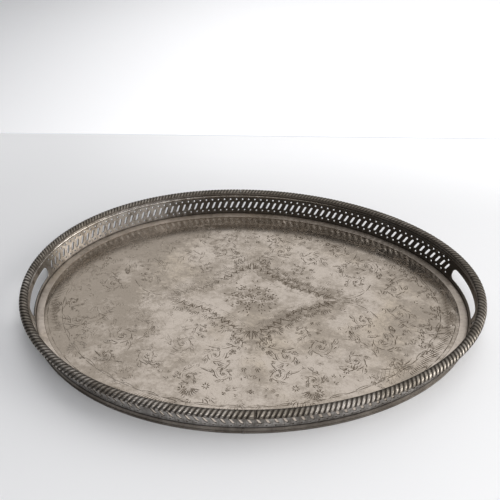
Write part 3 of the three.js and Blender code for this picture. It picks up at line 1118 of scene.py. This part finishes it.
def backdrop_material(name, colour, roughness, glow=0.0):
    """Painted board. `glow` stands for the light that the rest of the room throws on it."""
    n = Nodes(name)
    cloud = n.noise(n.place(), 3.0, 3.0, 0.5)
    shade = n.mix(cloud, tuple(0.97 * c for c in colour), colour)
    material = n.shader(shade, roughness, metallic=0.0)
    bsdf = next(k for k in n.tree.nodes if k.type == "BSDF_PRINCIPLED")
    x, y, _ = n.split(n.place())
    if glow:
        thrown = n.span(x, -0.8, 0.1, 0.1 * glow, glow)
    else:  # the near board glows with painted light that grows with distance from the tray, and more behind it, except to the left
        away = n.plus(n.times(n.times(x, x), 0.3), n.times(y, y))
        thrown = n.plus(n.span(away, 0.03, 0.2, 0.0, 0.11), n.span(away, 0.5, 7.0, 0.0, 0.6))
        behind = n.times(n.span(y, 0.16, 0.38, 0.0, 0.17), n.span(x, -0.35, 0.0))
        thrown = n.plus(thrown, behind)
    n.put(thrown, bsdf.inputs["Emission Strength"])
    n.put(colour, bsdf.inputs["Emission Color"])
    return material


def stage():
    """Two pale boards with a narrow dark joint between them behind the tray."""
    far_edge = BOARD_JOINT + BOARD_GAP
    near_white = backdrop_material("floor_white", (0.83, 0.83, 0.84), 0.6)
    far_white = backdrop_material("far_white", (0.88, 0.88, 0.895), 0.7, 0.45)
    grey = backdrop_material("joint_grey", (0.16, 0.16, 0.165), 0.8)
    for name, near, far, height, finish in (
        ("floor_near", -BOARD_REACH, BOARD_JOINT, 0.0, near_white),
        ("floor_far", far_edge, BOARD_REACH, 0.0, far_white),
        ("floor_joint", BOARD_JOINT, far_edge, -0.02, grey),
    ):
        mesh = bpy.data.meshes.new(name)
        corners = ((-1, near), (1, near), (1, far), (-1, far))
        corners = [(side * BOARD_REACH, y, height) for side, y in corners]
        mesh.from_pydata(corners, [], [[0, 1, 2, 3]])
        mesh.transform(Matrix.Rotation(BOARD_TURN, 4, "Z"))
        mesh.materials.append(finish)
        add_object(name, mesh)


def area_light(name, place, target, size, power, colour):
    data = bpy.data.lights.new(name, "AREA")
    data.shape = "RECTANGLE"
    data.size, data.size_y = size
    data.energy = power
    data.color = colour
    lamp = add_object(name, data)
    lamp.location = place
    lamp.visible_camera = False
    lamp.rotation_mode = "QUATERNION"
    lamp.rotation_quaternion = (Vector(target) - Vector(place)).to_track_quat("-Z", "Y")


def lights():
    area_light("window", (1.5, -0.1, 0.8), (0, 0.05, 0.0), (1.2, 1.1), 17.5, (1.0, 0.99, 0.97))
    area_light("side", (1.15, -1.05, 0.5), (-0.1, 0.1, 0.0), (1.2, 0.9), 4.8, (1.0, 0.99, 0.98))
    area_light("ceiling", (0.25, 0.1, 1.7), (0.1, 0.05, 0.0), (1.4, 1.0), 7, (0.99, 0.99, 1.0))
    area_light("fill", (0.1, -1.1, 1.35), (0, -0.2, 0.0), (1.4, 0.7), 9, (0.99, 0.99, 1.0))
    area_light("back", (0.15, 1.05, 1.2), (0.1, -0.2, 0.4), (3.0, 1.4), 10.5, (1.0, 1.0, 1.0))
    world = bpy.data.worlds.new("room")
    world.use_nodes = True
    bpy.context.scene.world = world
    tree = world.node_tree
    background = tree.nodes["Background"]
    background.inputs["Color"].default_value = (0.93, 0.96, 1.0, 1)
    # The room is dim, and stays pale where it shows past the boards.
    rays = tree.nodes.new("ShaderNodeLightPath")
    strength = tree.nodes.new("ShaderNodeMapRange")
    strength.inputs["To Min"].default_value = 0.13
    strength.inputs["To Max"].default_value = 0.85
    tree.links.new(rays.outputs["Is Camera Ray"], strength.inputs["Value"])
    tree.links.new(strength.outputs["Result"], background.inputs["Strength"])


def camera():
    place = Vector((0.0004, -0.5207, 0.4879))
    yaw, pitch, roll = -0.0667, 0.6459, -0.0229
    flat = math.cos(pitch)
    look = Vector((math.sin(yaw) * flat, math.cos(yaw) * flat, -math.sin(pitch)))
    level = Vector((math.cos(yaw), -math.sin(yaw), 0))
    upright = level.cross(look)
    right = level * math.cos(roll) + upright * math.sin(roll)
    up = upright * math.cos(roll) - level * math.sin(roll)
    data = bpy.data.cameras.new("camera")
    data.sensor_width = 36.0
    data.lens = 44.52
    data.shift_x, data.shift_y = 0.0652, -0.0263
    data.clip_start, data.clip_end = 0.01, 20.0
    eye = add_object("camera", data)
    frame3 = Matrix((right, up, -look)).transposed()
    eye.matrix_world = Matrix.Translation(place) @ frame3.to_4x4()
    bpy.context.scene.camera = eye


# ---------------------------------------------------------------- the tray

# Each finish: bright, tarnished and recessed colour, and how rough it is from clean to tarnished.
# The recessed colour is also that of painted shade, and the gallery's tarnished and recessed
# colours are kept dark partly as painted shade for the dim room it reflects.
SILVERS = {
    "bed": ((0.58, 0.51, 0.445), (0.35, 0.30, 0.25), (0.12, 0.093, 0.068), (0.12, 0.24)),
    "gallery": ((0.62, 0.59, 0.56), (0.20, 0.175, 0.15), (0.028, 0.023, 0.018), (0.16, 0.32)),
    "rim": ((0.47, 0.43, 0.39), (0.21, 0.185, 0.155), (0.045, 0.037, 0.03), (0.26, 0.42)),
    "foot": ((0.27, 0.24, 0.21), (0.15, 0.13, 0.11), (0.03, 0.025, 0.02), (0.24, 0.38)),
}
STRIP_END_GAP = 0.02


def build():
    bed_silver = worn_silver("bed_silver", *SILVERS["bed"], field=BED_FIELD)
    gallery_silver = worn_silver(
        "gallery_silver", *SILVERS["gallery"], shade=(0.0, 0.24, -0.15, 0.7)
    )
    rim_silver = worn_silver("rim_silver", *SILVERS["rim"], shade=(0.0, 0.3, 0.0, 0.5))
    foot_silver = worn_silver("foot_silver", *SILVERS["foot"])
    claim(bed(bed_silver), "tray_bed")
    joints = [
        GALLERY_TURN + joint * GIRTH / UNIT_COUNT
        for joint in (*GALLERY_JOINTS, GALLERY_JOINTS[0] + UNIT_COUNT)
    ]
    for side, start, end in zip(("back_right", "left", "front_right"), joints, joints[1:]):
        name = f"gallery_{side}"
        ends = start + STRIP_END_GAP, end - STRIP_END_GAP
        claim(gallery_strip(f"{name}_pierced", *ends, gallery_silver), name)
    for k, side in enumerate(("back_left", "front_left", "front_right", "back_right")):
        lobes = LOBES_FRONT if side.startswith("front") else LOBES_BACK
        start = (RIM_FIRST_JOINT + k / 4) * GIRTH
        piece = rim_mount(f"rim_{side}_gadroon", start, lobes, rim_silver)
        claim(piece, f"rim_mount_{side}")
    for k, side in enumerate(("left", "right")):
        start = (FOOT_FIRST_JOINT + k / 2) * GIRTH
        claim(foot_wire(f"foot_{side}", start, foot_silver), f"foot_wire_{side}")


camera()
stage()
lights()
build()
bpy.context.scene.view_settings.view_transform = "Standard"
